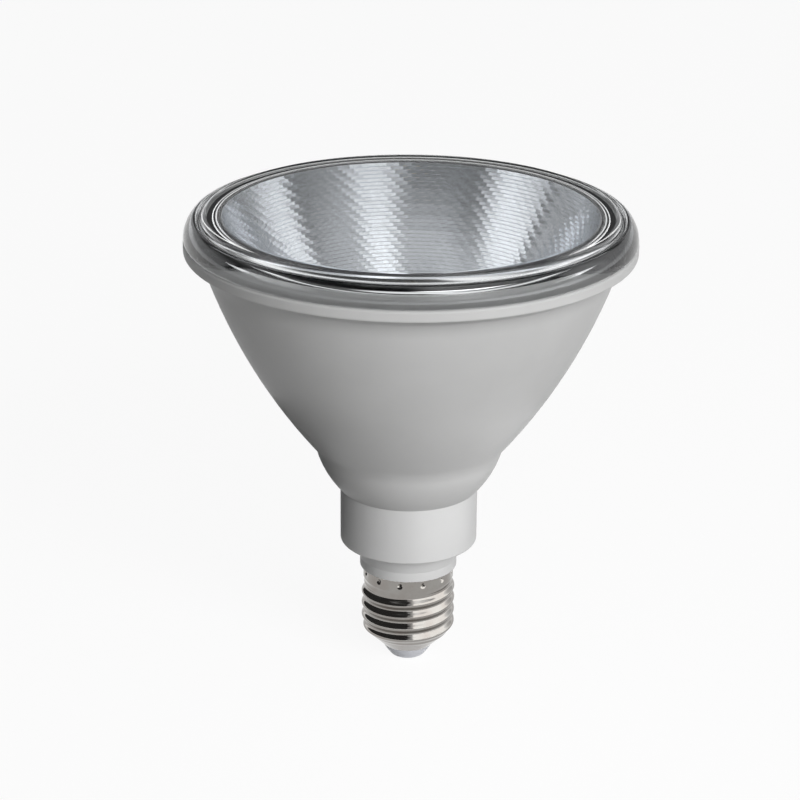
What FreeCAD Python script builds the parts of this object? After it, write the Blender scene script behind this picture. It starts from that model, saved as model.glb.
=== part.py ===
import FreeCAD, Part
import math
import os
import Sketcher

# A reflector spot lamp with a screw cap. The origin is the middle of the face of the centre contact,
# the lamp's axis is Z, and the window faces +Z. All sizes are in millimetres.

doc = FreeCAD.newDocument("spot_lamp")

# Driving sizes. A name that ends in _at is a height above the centre contact, one that ends in
# _radius is measured from the lamp's axis.
driving_sizes = {
    # clear lens
    "window_at": 132.0,
    "window_radius": 55.0,
    "shoulder_bend": 1.85,
    "groove_radius": 56.4,
    "groove_at": 130.2,
    "groove_width": 0.8,
    "groove_bend": 0.47,
    "bead_crown_radius": 58.9,
    "bead_crown_at": 130.4,
    "bead_crown_bend": 1.1,
    "bead_radius": 61.0,
    "bead_side_at": 125.8,
    "bead_bend": 7.0,
    "bead_edge": 0.5,
    "bead_gap": 0.15,
    "lens_radius": 59.35,
    "lens_wall": 2.5,
    "lens_inner_bend": 3.0,
    "skirt_inner_radius": 53.5,
    "skirt_outer_radius": 54.5,
    "skirt_end_at": 121.6,
    # seat of the lens in the housing, and its seal
    "seat_at": 123.2,
    "seal_inner_radius": 56.6,
    "seal_outer_radius": 58.6,
    "seal_depth": 1.0,
    # housing
    "lip_top_at": 124.8,
    "lip_inner_radius": 59.5,
    "lip_radius": 61.1,
    "lip_straight": 1.6,
    "lip_bend": 0.75,
    "lip_round": 0.7,
    "lip_under_at": 121.6,
    "step_radius": 57.5,
    "step_at": 120.2,
    "bell_top_radius": 56.1,
    "bell_top_at": 119.0,
    "bell_bend": 163.0,
    "edge_radius": 26.05,
    "edge_at": 65.0,
    "foot_bend": 27.0,
    "foot_radius": 19.2,
    "foot_at": 52.6,
    "housing_wall": 2.1,
    "tongue_inner_radius": 54.65,
    "tongue_radius": 56.1,
    "tongue_top_at": 127.0,
    "tongue_gap": 0.15,
    "bell_inner_radius": 54.0,
    "bell_inner_at": 119.5,
    "ledge_at": 69.0,
    "ledge_radius": 27.2,
    "ledge_inner_radius": 24.5,
    "foot_gap": 0.15,
    # heat sink cup with its plate
    "cup_gap": 0.15,
    "cup_wall": 1.2,
    "cup_top_at": 120.0,
    "plate_thickness": 3.0,
    "cup_corner_radius": 28.1,
    # reflector
    "reflector_top_at": 128.9,
    "reflector_top_radius": 50.85,
    "reflector_upper_bend": 190.0,
    "reflector_middle_at": 91.4,
    "reflector_middle_radius": 30.0,
    "reflector_lower_bend": 62.0,
    "reflector_foot_at": 76.0,
    "reflector_foot_radius": 14.5,
    "reflector_wall": 1.2,
    "flange_radius": 54.5,
    "flange_thickness": 1.6,
    "flange_root_radius": 48.4,
    # light source on the plate
    "pad_thickness": 0.3,
    "chip_side": 19.0,
    "chip_thickness": 1.0,
    "phosphor_radius": 7.5,
    "phosphor_height": 0.6,
    "dam_width": 0.8,
    "holder_radius": 22.0,
    "holder_core_radius": 17.0,
    "holder_step": 2.0,
    "holder_opening_radius": 8.6,
    "holder_cone_radius": 14.3,
    "lead_pocket_depth": 2.5,
    # screws
    "screw_shank_radius": 1.3,
    "screw_head_radius": 2.4,
    "screw_head_height": 1.5,
    "recess_radius": 1.0,
    "screw_gap": 0.2,
    "holder_screw_length": 4.9,
    "case_screw_length": 10.0,
    # driver case: neck, collar and the sleeve that the cap is staked to
    "neck_radius": 19.1,
    "neck_bottom_at": 36.5,
    "neck_round": 0.6,
    "case_wall": 1.8,
    "sleeve_radius": 17.6,
    "collar_radius": 13.6,
    "collar_step_at": 31.2,
    "collar_cone_radius": 15.4,
    "plug_radius": 11.6,
    "plug_bore_radius": 9.8,
    "plug_end_at": 16.0,
    "rail_width": 3.3,
    "rail_depth": 4.6,
    "rail_end_at": 62.0,
    "boss_radius": 2.6,
    "boss_start_at": 57.0,
    "pilot_depth": 9.0,
    "board_gap": 0.05,
    "case_screw_at": 13.6,
    "holder_screw_at": 19.5,
    # screw cap, knuckle thread of 7 turns to the inch
    "cap_rim_at": 28.6,
    "cap_collar_radius": 12.7,
    "cap_collar_end_at": 24.6,
    "thread_pitch": 3.629,
    "crest_radius": 13.15,
    "root_radius": 12.1,
    "root_top_at": 23.6,
    "root_end_at": 9.7,
    "right_crest_at": 7.22,
    "thread_rise": 16.6,
    "thread_full_at": 11.8,
    "thread_fade_at": 21.8,
    "thread_gone_at": 24.0,
    "fade_radius": 12.35,
    "fade_at": 9.0,
    "fade_overlap": 0.1,
    "crest_half_width": 0.33,
    "shoulder_half_width": 0.82,
    "shoulder_drop": 0.4,
    "flank_half_width": 1.16,
    "fillet_rise": 0.22,
    "foot_half_width": 1.66,
    "inside_crest_half_width": 0.34,
    "inside_root_half_width": 1.0,
    "cap_wall": 0.35,
    "cap_cone_radius": 10.9,
    "cap_cone_at": 7.7,
    "cap_end_radius": 7.2,
    "cap_end_at": 4.0,
    "mark_count": 12,
    "mark_turn": -10.5,
    "mark_at": 26.8,
    "mark_radius": 0.5,
    "mark_depth": 0.28,
    # insulator and contact
    "insulator_at": 0.25,
    "insulator_face_radius": 3.9,
    "insulator_round": 1.6,
    "cap_slip": 0.05,
    "insulator_side_radius": 5.3,
    "insulator_side_at": 1.3,
    "insulator_mid_radius": 5.95,
    "insulator_mid_at": 2.0,
    "insulator_end_at": 9.0,
    "contact_radius": 2.4,
    "contact_round": 0.25,
    "shank_radius": 1.2,
    "contact_end_at": 10.5,
    # driver board and leads
    "board_thickness": 1.6,
    "board_plane": -2.0,
    "board_half_width": 14.8,
    "board_foot_at": 40.0,
    "board_end_at": 67.0,
    "tongue_half_width": 8.4,
    "tongue_end_at": 20.0,
    # driver parts
    "can_radius": 4.0,
    "can_bead": 0.5,
    "can_x": 9.2,
    "output_can_height": 15.0,
    "output_can_at": 50.5,
    "input_can_height": 14.0,
    "input_can_at": 47.5,
    "part_gap": 0.1,
    "core_width": 9.8,
    "core_depth": 9.6,
    "core_height": 12.0,
    "core_leg": 1.3,
    "core_at": 51.0,
    "film_width": 10.0,
    "film_depth": 5.5,
    "film_height": 8.0,
    "film_x": 7.3,
    "film_at": 41.5,
    "drum_radius": 3.0,
    "drum_height": 6.0,
    "drum_flange": 1.0,
    "drum_x": 5.5,
    "drum_at": 41.0,
    "chip_body": 4.8,
    "package_height": 1.6,
    "bridge_at": 44.0,
    "chip_x": 4.0,
    "driver_chip_at": 46.0,
    "disc_radius": 3.6,
    "disc_height": 3.4,
    "disc_at": 58.0,
    "fuse_radius": 1.5,
    "fuse_length": 9.0,
    "fuse_at": 31.0,
    # leads
    "lead_radius": 0.65,
    "lead_bend": 2.6,
    "live_jog": 3.2,
    "output_lead_at": 12.0,
    "neutral_x": 6.4,
    "neutral_low_at": 13.2,
    "neutral_end_x": 11.4,
}

sheet = doc.addObject("Spreadsheet::Sheet", "Sizes")
for row, (name, number) in enumerate(driving_sizes.items(), start=1):
    sheet.set("A%d" % row, name)
    sheet.set("B%d" % row, str(number))
    sheet.setAlias("B%d" % row, name)
doc.recompute()


class Size:
    """A length together with the sheet expression that gives it."""

    def __init__(self, number, words):
        self.number = number
        self.words = words

    def __add__(self, other):
        other = as_size(other)
        return Size(self.number + other.number, "(%s + %s)" % (self.words, other.words))

    def __sub__(self, other):
        other = as_size(other)
        return Size(self.number - other.number, "(%s - %s)" % (self.words, other.words))

    def __mul__(self, factor):
        return Size(self.number * factor, "(%s * %s)" % (self.words, factor))

    __radd__ = __add__
    __rmul__ = __mul__

    def __neg__(self):
        return self * -1


def as_size(thing):
    if isinstance(thing, Size):
        return thing
    return Size(float(thing), "%s" % float(thing))


def size(name):
    return Size(driving_sizes[name], "Sizes.%s" % name)


def bind(thing, path, length):
    thing.setExpression(path, as_size(length).words)


# Sketches and features

def origin_plane(body, role):
    return [plane for plane in body.Origin.OriginFeatures if plane.Role == role][0]


def arc_between(start, end, bend):
    """An arc of radius |bend| from start to end. It turns left where bend is positive, else right."""
    middle = (start + end) * 0.5
    chord = end - start
    rise = math.sqrt(bend * bend - chord.Length ** 2 / 4)
    left = FreeCAD.Vector(-chord.y, chord.x, 0).normalize()
    centre = middle + left * math.copysign(rise, bend)
    first, last = (start, end) if bend > 0 else (end, start)
    angles = [math.atan2(point.y - centre.y, point.x - centre.x) for point in (first, last)]
    circle = Part.Circle(centre, FreeCAD.Vector(0, 0, 1), abs(bend))
    return Part.ArcOfCircle(circle, angles[0], angles[1])


def pin_point(sketch, curve, end, across, along):
    """Hold one end of a curve at its two distances from the sketch's origin."""
    for kind, axis, distance in (("DistanceX", -2, across), ("DistanceY", -1, along)):
        distance = as_size(distance)
        if distance.number == 0:
            sketch.addConstraint(Sketcher.Constraint("PointOnObject", curve, end, axis))
        else:
            index = sketch.addConstraint(Sketcher.Constraint(kind, -1, 1, curve, end, distance.number))
            bind(sketch, "Constraints[%d]" % index, distance)


def draw_outline(sketch, outline):
    """Draw a closed outline. A point is (across, along), or (across, along, bend) after an arc."""
    points = [FreeCAD.Vector(as_size(p[0]).number, as_size(p[1]).number, 0) for p in outline]
    ends = []
    for index, entry in enumerate(outline):
        start, end = points[index - 1], points[index]
        bend = as_size(entry[2]).number if len(entry) > 2 else 0
        curve = arc_between(start, end, bend) if bend else Part.LineSegment(start, end)
        sketch.addGeometry(curve, False)
        ends.append((2, 1) if bend < 0 else (1, 2))
    for index, entry in enumerate(outline):
        follower = (index + 1) % len(outline)
        joined = Sketcher.Constraint("Coincident", index, ends[index][1], follower, ends[follower][0])
        sketch.addConstraint(joined)
        pin_point(sketch, index, ends[index][1], entry[0], entry[1])
        if len(entry) > 2:
            bend = as_size(entry[2])
            bend = bend if bend.number > 0 else -bend
            radius = sketch.addConstraint(Sketcher.Constraint("Radius", index, bend.number))
            bind(sketch, "Constraints[%d]" % radius, bend)


def new_body(label):
    body = doc.addObject("PartDesign::Body", label)
    body.Label = label
    return body


def new_sketch(body, name, role):
    sketch = body.newObject("Sketcher::SketchObject", name)
    sketch.AttachmentSupport = [(origin_plane(body, role), "")]
    sketch.MapMode = "FlatFace"
    return sketch


def turned(label, outline):
    """A body turned about the lamp's axis from an outline of (radius, height) points."""
    body = new_body(label)
    sketch = new_sketch(body, label + "_outline", "XZ_Plane")
    draw_outline(sketch, outline)
    turn = body.newObject("PartDesign::Revolution", label + "_turn")
    turn.Profile = sketch
    turn.ReferenceAxis = (sketch, ["V_Axis"])
    turn.Angle = 360
    body.Tip = turn
    return body


def move(thing, x=0, y=0, z=0):
    for axis, distance in (("x", x), ("y", y), ("z", z)):
        bind(thing, "Placement.Base.%s" % axis, distance)
    return thing


def box(label, lengths, corner):
    """A box from its three edge lengths and its lowest corner."""
    block = doc.addObject("Part::Box", label)
    block.Label = label
    for side, length in zip(("Length", "Width", "Height"), lengths):
        bind(block, side, length)
    return move(block, *corner)


def rod(label, radius, height, foot):
    """A round rod that stands on its foot, along Z."""
    cylinder = doc.addObject("Part::Cylinder", label)
    cylinder.Label = label
    bind(cylinder, "Radius", radius)
    bind(cylinder, "Height", height)
    return move(cylinder, *foot)


def joined(label, pieces):
    fusion = doc.addObject("Part::MultiFuse", label)
    fusion.Label = label
    fusion.Shapes = pieces
    return fusion


def cut(label, base, tools):
    tool = tools[0] if len(tools) == 1 else joined(label + "_tools", tools)
    result = doc.addObject("Part::Cut", label)
    result.Label = label
    result.Base = base
    result.Tool = tool
    return result


parts = []


def keep(thing):
    parts.append(thing)
    return thing


# Clear lens: a flat window, a rounded shoulder, a narrow groove and a broad bead that overhangs the
# housing's lip. A channel under the bead takes the housing's tongue, and the thin skirt inside it
# holds the reflector's flange down

def clear_lens():
    inner_face = size("window_at") - size("lens_wall")
    inner_corner = size("skirt_inner_radius") - size("lens_inner_bend")
    channel_radius = size("tongue_radius") + size("tongue_gap")
    channel_top = size("tongue_top_at") + size("tongue_gap")
    bead_under = size("lip_top_at") + size("bead_gap")
    keep(turned("front_lens", [
        (0, inner_face),
        (inner_corner, inner_face),
        (size("skirt_inner_radius"), inner_face - size("lens_inner_bend"), -size("lens_inner_bend")),
        (size("skirt_inner_radius"), size("skirt_end_at")),
        (size("skirt_outer_radius"), size("skirt_end_at")),
        (size("skirt_outer_radius"), channel_top),
        (channel_radius, channel_top),
        (channel_radius, size("seat_at")),
        (size("lens_radius"), size("seat_at")),
        (size("lens_radius"), bead_under),
        (size("bead_radius") - size("bead_edge"), bead_under),
        (size("bead_radius"), bead_under + size("bead_edge"), size("bead_edge")),
        (size("bead_radius"), size("bead_side_at")),
        (size("bead_crown_radius"), size("bead_crown_at"), size("bead_bend")),
        (size("groove_radius") + size("groove_width"), size("groove_at"), size("bead_crown_bend")),
        (size("groove_radius"), size("groove_at"), -size("groove_bend")),
        (size("window_radius"), size("window_at"), size("shoulder_bend")),
        (0, size("window_at")),
    ]))


# Seal: a flat silicone ring in the groove of the seat

def lens_seal():
    seal_bottom = size("seat_at") - size("seal_depth")
    keep(turned("lens_seal", [
        (size("seal_inner_radius"), seal_bottom),
        (size("seal_outer_radius"), seal_bottom),
        (size("seal_outer_radius"), size("seat_at")),
        (size("seal_inner_radius"), size("seat_at")),
    ]))


# Housing: a bell in one moulding, from the lip and the tongue that hold the lens to the foot that
# stands on the neck. Its inner wall follows the outer one, with a ledge for the heat sink's plate

def housing():
    seal_bottom = size("seat_at") - size("seal_depth")
    lip_corner = size("lip_radius") - size("lip_bend")
    lip_side_start = size("lip_under_at") + size("lip_bend")
    foot_inner = size("sleeve_radius") + size("foot_gap")
    keep(turned("housing", [
        (foot_inner, size("foot_at")),
        (size("foot_radius"), size("foot_at")),
        (size("edge_radius"), size("edge_at"), size("foot_bend")),
        (size("bell_top_radius"), size("bell_top_at"), size("bell_bend")),
        (size("step_radius"), size("step_at")),
        (lip_corner, size("lip_under_at")),
        (size("lip_radius"), lip_side_start, size("lip_bend")),
        (size("lip_radius"), lip_side_start + size("lip_straight")),
        (size("lip_radius") - size("lip_round"), size("lip_top_at"), size("lip_bend")),
        (size("lip_inner_radius"), size("lip_top_at")),
        (size("lip_inner_radius"), size("seat_at")),
        (size("seal_outer_radius"), size("seat_at")),
        (size("seal_outer_radius"), seal_bottom),
        (size("seal_inner_radius"), seal_bottom),
        (size("seal_inner_radius"), size("seat_at")),
        (size("tongue_radius"), size("seat_at")),
        (size("tongue_radius"), size("tongue_top_at")),
        (size("tongue_inner_radius"), size("tongue_top_at")),
        (size("tongue_inner_radius"), size("cup_top_at")),
        (size("bell_inner_radius"), size("bell_inner_at")),
        (size("ledge_radius"), size("ledge_at"), size("housing_wall") - size("bell_bend")),
        (size("ledge_inner_radius"), size("ledge_at")),
        (size("ledge_inner_radius"), size("edge_at") + size("foot_gap")),
        (foot_inner, size("foot_at") + size("housing_wall"), size("housing_wall") - size("foot_bend")),
    ]))


# Heat sink: an aluminium cup that lines the bell. Its thick floor is the plate that carries the light
# source, with holes for the screws and for the two output leads

def heat_sink():
    outer_bend = size("bell_bend") - size("housing_wall") - size("cup_gap")
    inner_bend = outer_bend - size("cup_wall")
    rim_radius = size("bell_inner_radius") - size("cup_gap")
    plate_top = size("ledge_at") + size("plate_thickness")
    cup = turned("cup_blank", [
        (0, size("ledge_at")),
        (size("ledge_radius") - size("cup_gap"), size("ledge_at")),
        (rim_radius, size("bell_inner_at"), outer_bend),
        (rim_radius, size("cup_top_at")),
        (rim_radius - size("cup_wall"), size("cup_top_at")),
        (rim_radius - size("cup_wall"), size("bell_inner_at")),
        (size("cup_corner_radius"), plate_top, -inner_bend),
        (0, plate_top),
    ])
    holes = []
    for side in (-1, 1):
        name = "left" if side < 0 else "right"
        holes.append(rod("case_screw_hole_" + name, size("screw_shank_radius") + size("screw_gap"),
                         size("plate_thickness") * 3,
                         (0, side * size("case_screw_at"), size("ledge_at") - size("plate_thickness"))))
        holes.append(rod("holder_screw_hole_" + name, size("screw_shank_radius"),
                         size("plate_thickness") * 3,
                         (side * size("holder_screw_at"), 0, size("ledge_at") - size("plate_thickness"))))
        holes.append(rod("lead_hole_" + name, size("lead_radius") * 2,
                         size("plate_thickness") * 3,
                         (side * size("output_lead_at"), size("board_plane"),
                          size("ledge_at") - size("plate_thickness"))))
    keep(cut("heat_sink", cup, holes))


# Reflector: a moulded cup, metallised inside. Its flange lies on the rim of the heat sink, under the
# lens's skirt, and its foot stands on the holder

def reflector():
    wall = size("reflector_wall")
    flange_bottom = size("skirt_end_at") - size("flange_thickness")
    keep(turned("reflector", [
        (size("reflector_foot_radius"), size("reflector_foot_at"), -size("reflector_lower_bend")),
        (size("reflector_foot_radius") + wall * 1.5, size("reflector_foot_at")),
        (size("reflector_middle_radius") + wall, size("reflector_middle_at") - wall * 0.6,
         size("reflector_lower_bend")),
        (size("flange_root_radius"), flange_bottom, size("reflector_upper_bend")),
        (size("flange_radius"), flange_bottom),
        (size("flange_radius"), size("skirt_end_at")),
        (size("flange_root_radius") + wall * 0.6, size("skirt_end_at")),
        (size("reflector_top_radius") + wall, size("reflector_top_at")),
        (size("reflector_top_radius"), size("reflector_top_at")),
        (size("reflector_middle_radius"), size("reflector_middle_at"), -size("reflector_upper_bend")),
    ]))


# Light source: a thermal pad, a ceramic chip board with its dam, the phosphor in the dam, and a plastic
# holder that clamps the board with two screws

def light_source():
    plate_top = size("ledge_at") + size("plate_thickness")
    side = size("chip_side")
    corner = side * -0.5
    keep(box("thermal_pad", (side, side, size("pad_thickness")), (corner, corner, plate_top)))

    board_bottom = plate_top + size("pad_thickness")
    board_top = board_bottom + size("chip_thickness")
    slab = box("chip_slab", (side, side, size("chip_thickness")), (corner, corner, board_bottom))
    dam_outer = rod("dam_outer", size("phosphor_radius") + size("dam_width"),
                    size("phosphor_height") + size("chip_thickness"), (0, 0, board_bottom))
    dam_inner = rod("dam_inner", size("phosphor_radius"), size("phosphor_height") * 2, (0, 0, board_top))
    keep(cut("led_board", joined("chip_board_blank", [slab, dam_outer]), [dam_inner]))
    keep(rod("led_phosphor", size("phosphor_radius"), size("phosphor_height"), (0, 0, board_top)))

    ring = turned("holder_blank", [
        (size("holder_opening_radius"), plate_top),
        (size("holder_radius"), plate_top),
        (size("holder_radius"), plate_top + size("holder_step")),
        (size("holder_core_radius"), plate_top + size("holder_step")),
        (size("holder_core_radius"), size("reflector_foot_at")),
        (size("holder_cone_radius"), size("reflector_foot_at")),
        (size("holder_opening_radius"), board_top + size("pad_thickness")),
    ])
    pocket_side = side + size("screw_gap")
    pocket = box("chip_pocket", (pocket_side, pocket_side, board_top - plate_top),
                 (pocket_side * -0.5, pocket_side * -0.5, plate_top))
    tools = [pocket]
    for place in (-1, 1):
        name = "left" if place < 0 else "right"
        tools.append(rod("head_pocket_" + name, size("screw_head_radius") + size("screw_gap"),
                         size("screw_head_height") + size("screw_gap"),
                         (0, place * size("case_screw_at"), plate_top)))
        tools.append(rod("lead_pocket_" + name, size("lead_radius") + size("screw_gap"),
                         size("lead_pocket_depth"),
                         (place * size("output_lead_at"), size("board_plane"), plate_top)))
        tools.append(rod("holder_hole_" + name, size("screw_shank_radius") + size("screw_gap"),
                         size("holder_step") * 2,
                         (place * size("holder_screw_at"), 0, plate_top - size("holder_step") * 0.5)))
    keep(cut("led_holder", ring, tools))


def screw_pair(label, seat, length, mirror_plane, offset):
    """Two pan-head screws, one each side of the lamp's axis. The second is the first one's mirror."""
    head = size("screw_head_radius")
    crown = size("screw_head_height")
    screw = turned(label + "_first", [
        (0, seat - length),
        (size("screw_shank_radius"), seat - length),
        (size("screw_shank_radius"), seat),
        (head, seat),
        (head, seat + crown * 0.5),
        (size("recess_radius"), seat + crown, head * 1.6),
        (size("recess_radius") * 0.6, seat + crown * 0.4),
        (0, seat + crown * 0.4),
    ])
    move(screw, *offset)
    twin = doc.addObject("Part::Mirroring", label + "_second")
    twin.Source = screw
    twin.Base = FreeCAD.Vector(0, 0, 0)
    twin.Normal = mirror_plane
    pair = doc.addObject("Part::Compound", label)
    pair.Label = label
    pair.Links = [screw, twin]
    keep(pair)


def screws():
    plate_top = size("ledge_at") + size("plate_thickness")
    screw_pair("holder_screws", plate_top + size("holder_step"), size("holder_screw_length"),
               FreeCAD.Vector(1, 0, 0), (size("holder_screw_at"), 0, 0))
    screw_pair("case_screws", plate_top, size("case_screw_length"),
               FreeCAD.Vector(0, 1, 0), (0, size("case_screw_at"), 0))


# Driver case: one white moulding with the neck, the collar, a plug that the cap is staked to, and a
# sleeve that stands inside the housing. Rails hold the board and two bosses take the screws

def driver_case():
    inner = size("sleeve_radius") - size("case_wall")
    floor_top = size("neck_bottom_at") + size("case_wall")
    blank = turned("case_blank", [
        (size("plug_bore_radius"), size("plug_end_at")),
        (size("plug_radius"), size("plug_end_at")),
        (size("plug_radius"), size("cap_rim_at")),
        (size("collar_radius"), size("cap_rim_at")),
        (size("collar_radius"), size("collar_step_at")),
        (size("collar_cone_radius"), size("neck_bottom_at")),
        (size("neck_radius") - size("neck_round"), size("neck_bottom_at")),
        (size("neck_radius"), size("neck_bottom_at") + size("neck_round"), size("neck_round")),
        (size("neck_radius"), size("foot_at")),
        (size("sleeve_radius"), size("foot_at")),
        (size("sleeve_radius"), size("ledge_at")),
        (inner, size("ledge_at")),
        (inner, floor_top),
        (size("plug_bore_radius"), floor_top),
    ])
    rail_height = size("rail_end_at") - floor_top
    slot_height = size("rail_end_at") - size("board_foot_at")
    rail_plane = size("board_plane") - size("rail_depth") * 0.5
    boss_height = size("ledge_at") - size("boss_start_at")
    additions = [blank]
    for side in (-1, 1):
        name = "left" if side < 0 else "right"
        rail_start = inner * -1 if side < 0 else inner - size("rail_width")
        additions.append(box("rail_" + name, (size("rail_width"), size("rail_depth"), rail_height),
                             (rail_start, rail_plane, floor_top)))
        additions.append(rod("boss_" + name, size("boss_radius"), boss_height,
                             (0, side * size("case_screw_at"), size("boss_start_at"))))
    slot_half = size("board_half_width") + size("board_gap")
    slot_depth = size("board_thickness") + size("board_gap") * 2
    slot = box("board_slot", (slot_half * 2, slot_depth, slot_height),
               (slot_half * -1, size("board_plane") - slot_depth * 0.5, size("board_foot_at")))
    pilots = [rod("pilot_" + name, size("screw_shank_radius"), size("pilot_depth"),
                  (0, side * size("case_screw_at"), size("ledge_at") - size("pilot_depth")))
              for name, side in (("left", -1), ("right", 1))]
    keep(cut("neck_case", joined("case_with_rails", additions), [slot] + pilots))


# Screw cap: thin nickel-plated sheet with the knuckle thread rolled into it, so the ridge outside is
# a groove inside. The thread fades out at both ends, and small punch marks stake the cap to the plug

def helix(body, name, kind, start, rise, corners):
    """A helical rib or groove. Its corners are (distance from the crest line, radius) above the crest."""
    sketch = new_sketch(body, name + "_section", "XZ_Plane")
    side = [(radius, start + across) for across, radius in corners]
    mirrored = [(radius, start - across) for across, radius in reversed(corners)]
    draw_outline(sketch, side + mirrored)
    winding = body.newObject(kind, name)
    winding.Profile = sketch
    winding.ReferenceAxis = (sketch, ["V_Axis"])
    winding.Mode = 0
    bind(winding, "Pitch", size("thread_pitch"))
    bind(winding, "Height", rise)
    winding.Angle = 0
    body.Tip = winding
    return winding


def groove(body, name, outline):
    sketch = new_sketch(body, name + "_outline", "XZ_Plane")
    draw_outline(sketch, outline)
    ring = body.newObject("PartDesign::Groove", name)
    ring.Profile = sketch
    ring.ReferenceAxis = (sketch, ["V_Axis"])
    ring.Angle = 360
    body.Tip = ring
    return ring


def screw_shell():
    body = new_body("screw_shell")
    wall = size("cap_wall")
    crest = size("crest_radius")
    root = size("root_radius")
    foot = root - size("fade_overlap") * 0.1
    start = size("right_crest_at")
    helix(body, "thread", "PartDesign::AdditiveHelix", start, size("thread_rise"), [
        (size("crest_half_width"), crest),
        (size("shoulder_half_width"), crest - size("shoulder_drop")),
        (size("flank_half_width"), root + size("fillet_rise")),
        (size("foot_half_width"), foot),
        (size("foot_half_width"), root - wall * 0.5),
    ])
    beyond = crest * 1.15
    overlap = size("fade_overlap")
    groove(body, "lower_fade", [
        (size("cap_end_radius"), size("cap_end_at")),
        (beyond, size("cap_end_at")),
        (beyond, size("thread_full_at")),
        (crest + overlap, size("thread_full_at")),
        (size("fade_radius"), size("fade_at")),
        (size("cap_cone_radius") - overlap, size("cap_cone_at")),
    ])
    groove(body, "upper_fade", [
        (crest + overlap, size("thread_fade_at")),
        (beyond, size("thread_fade_at")),
        (beyond, size("cap_rim_at")),
        (size("cap_collar_radius") - overlap, size("cap_rim_at")),
        (size("cap_collar_radius") - overlap, size("thread_gone_at")),
    ])
    sketch = new_sketch(body, "wall_outline", "XZ_Plane")
    draw_outline(sketch, [
        (size("cap_end_radius"), size("cap_end_at")),
        (size("cap_cone_radius"), size("cap_cone_at")),
        (root, size("root_end_at")),
        (root, size("root_top_at")),
        (size("cap_collar_radius"), size("cap_collar_end_at")),
        (size("cap_collar_radius"), size("cap_rim_at")),
        (size("cap_collar_radius") - wall, size("cap_rim_at")),
        (size("cap_collar_radius") - wall, size("cap_collar_end_at") + wall * 0.4),
        (root - wall, size("root_top_at") + wall * 0.4),
        (root - wall, size("root_end_at") + wall * 0.3),
        (size("cap_cone_radius") - wall, size("cap_cone_at") + wall * 0.5),
        (size("cap_end_radius") - wall * 0.7, size("cap_end_at") + wall * 0.7),
    ])
    turn = body.newObject("PartDesign::Revolution", "wall_turn")
    turn.Profile = sketch
    turn.ReferenceAxis = (sketch, ["V_Axis"])
    turn.Angle = 360
    body.Tip = turn
    doc.recompute()
    pitch = size("thread_pitch")
    helix(body, "thread_inside", "PartDesign::SubtractiveHelix", start + pitch, pitch * 3, [
        (size("inside_crest_half_width"), crest - wall * 1.5),
        (size("inside_root_half_width"), root - wall * 1.2),
    ])
    punch_marks(body)
    keep(body)


def punch_marks(body):
    """Small conical dents round the collar that stake the cap to the plug, each pointing inwards."""
    outside = size("cap_collar_radius") + size("mark_depth")
    inside = size("cap_collar_radius") - size("mark_depth")
    sketch = new_sketch(body, "mark_outline", "XZ_Plane")
    about_axis = FreeCAD.Rotation(FreeCAD.Vector(0, 1, 0), driving_sizes["mark_turn"])
    sketch.AttachmentOffset = FreeCAD.Placement(FreeCAD.Vector(), about_axis)
    draw_outline(sketch, [
        (inside, size("mark_at")),
        (outside, size("mark_at")),
        (outside, size("mark_at") + size("mark_radius") * 2),
    ])
    dent = body.newObject("PartDesign::Groove", "mark")
    dent.Profile = sketch
    dent.ReferenceAxis = (sketch, ["Edge1"])
    dent.Angle = 360
    ring = body.newObject("PartDesign::PolarPattern", "mark_ring")
    ring.Originals = [dent]
    ring.Axis = (origin_plane(body, "Z_Axis"), [""])
    ring.Angle = 360
    bind(ring, "Occurrences", size("mark_count"))
    body.Tip = ring


# Cap insulator and centre contact: a white moulded plug that closes the cap, with a nickel-plated
# rivet through it

def insulator_and_contact():
    wall = size("cap_wall")
    inner_cone = size("cap_cone_radius") - wall - size("cap_slip")
    keep(turned("cap_insulator", [
        (size("shank_radius"), size("insulator_at")),
        (size("insulator_face_radius"), size("insulator_at")),
        (size("insulator_side_radius"), size("insulator_side_at"), size("insulator_round")),
        (size("insulator_mid_radius"), size("insulator_mid_at")),
        (size("cap_end_radius"), size("cap_end_at")),
        (size("cap_end_radius") - wall * 0.7 - size("cap_slip"), size("cap_end_at") + wall * 0.7),
        (inner_cone, size("cap_cone_at") + wall * 0.5),
        (inner_cone, size("insulator_end_at")),
        (size("shank_radius"), size("insulator_end_at")),
    ]))
    keep(turned("centre_contact", [
        (0, 0),
        (size("contact_radius") - size("contact_round"), 0),
        (size("contact_radius"), size("insulator_at"), size("contact_round") * 1.2),
        (size("shank_radius"), size("insulator_at")),
        (size("shank_radius"), size("contact_end_at")),
        (0, size("contact_end_at")),
    ]))


# Driver board: a glass-fibre sheet that stands in the rails of the case, with a tongue down the plug

def driver_board():
    plane = size("board_plane") - size("board_thickness") * 0.5
    height = size("board_end_at") - size("board_foot_at")
    upper = box("board_upper", (size("board_half_width") * 2, size("board_thickness"), height),
                (size("board_half_width") * -1, plane, size("board_foot_at")))
    tongue_height = size("board_foot_at") - size("tongue_end_at")
    tongue = box("board_tongue", (size("tongue_half_width") * 2, size("board_thickness"), tongue_height),
                 (size("tongue_half_width") * -1, plane, size("tongue_end_at")))
    keep(joined("driver_board", [upper, tongue]))


# Driver parts on the board's two faces. Cans, drum and disc are turned, packages are blocks

def can(label, radius, height, x, y, foot_at):
    """An electrolytic capacitor: a can with a rolled groove near its foot and a rounded top."""
    bead = size("can_bead")
    body = turned(label, [
        (0, 0),
        (radius - bead, 0),
        (radius, bead),
        (radius, bead * 3),
        (radius - bead, bead * 4),
        (radius, bead * 5),
        (radius, height - bead),
        (radius - bead, height, bead * 1.1),
        (0, height),
    ])
    keep(move(body, x, y, foot_at))


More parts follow.
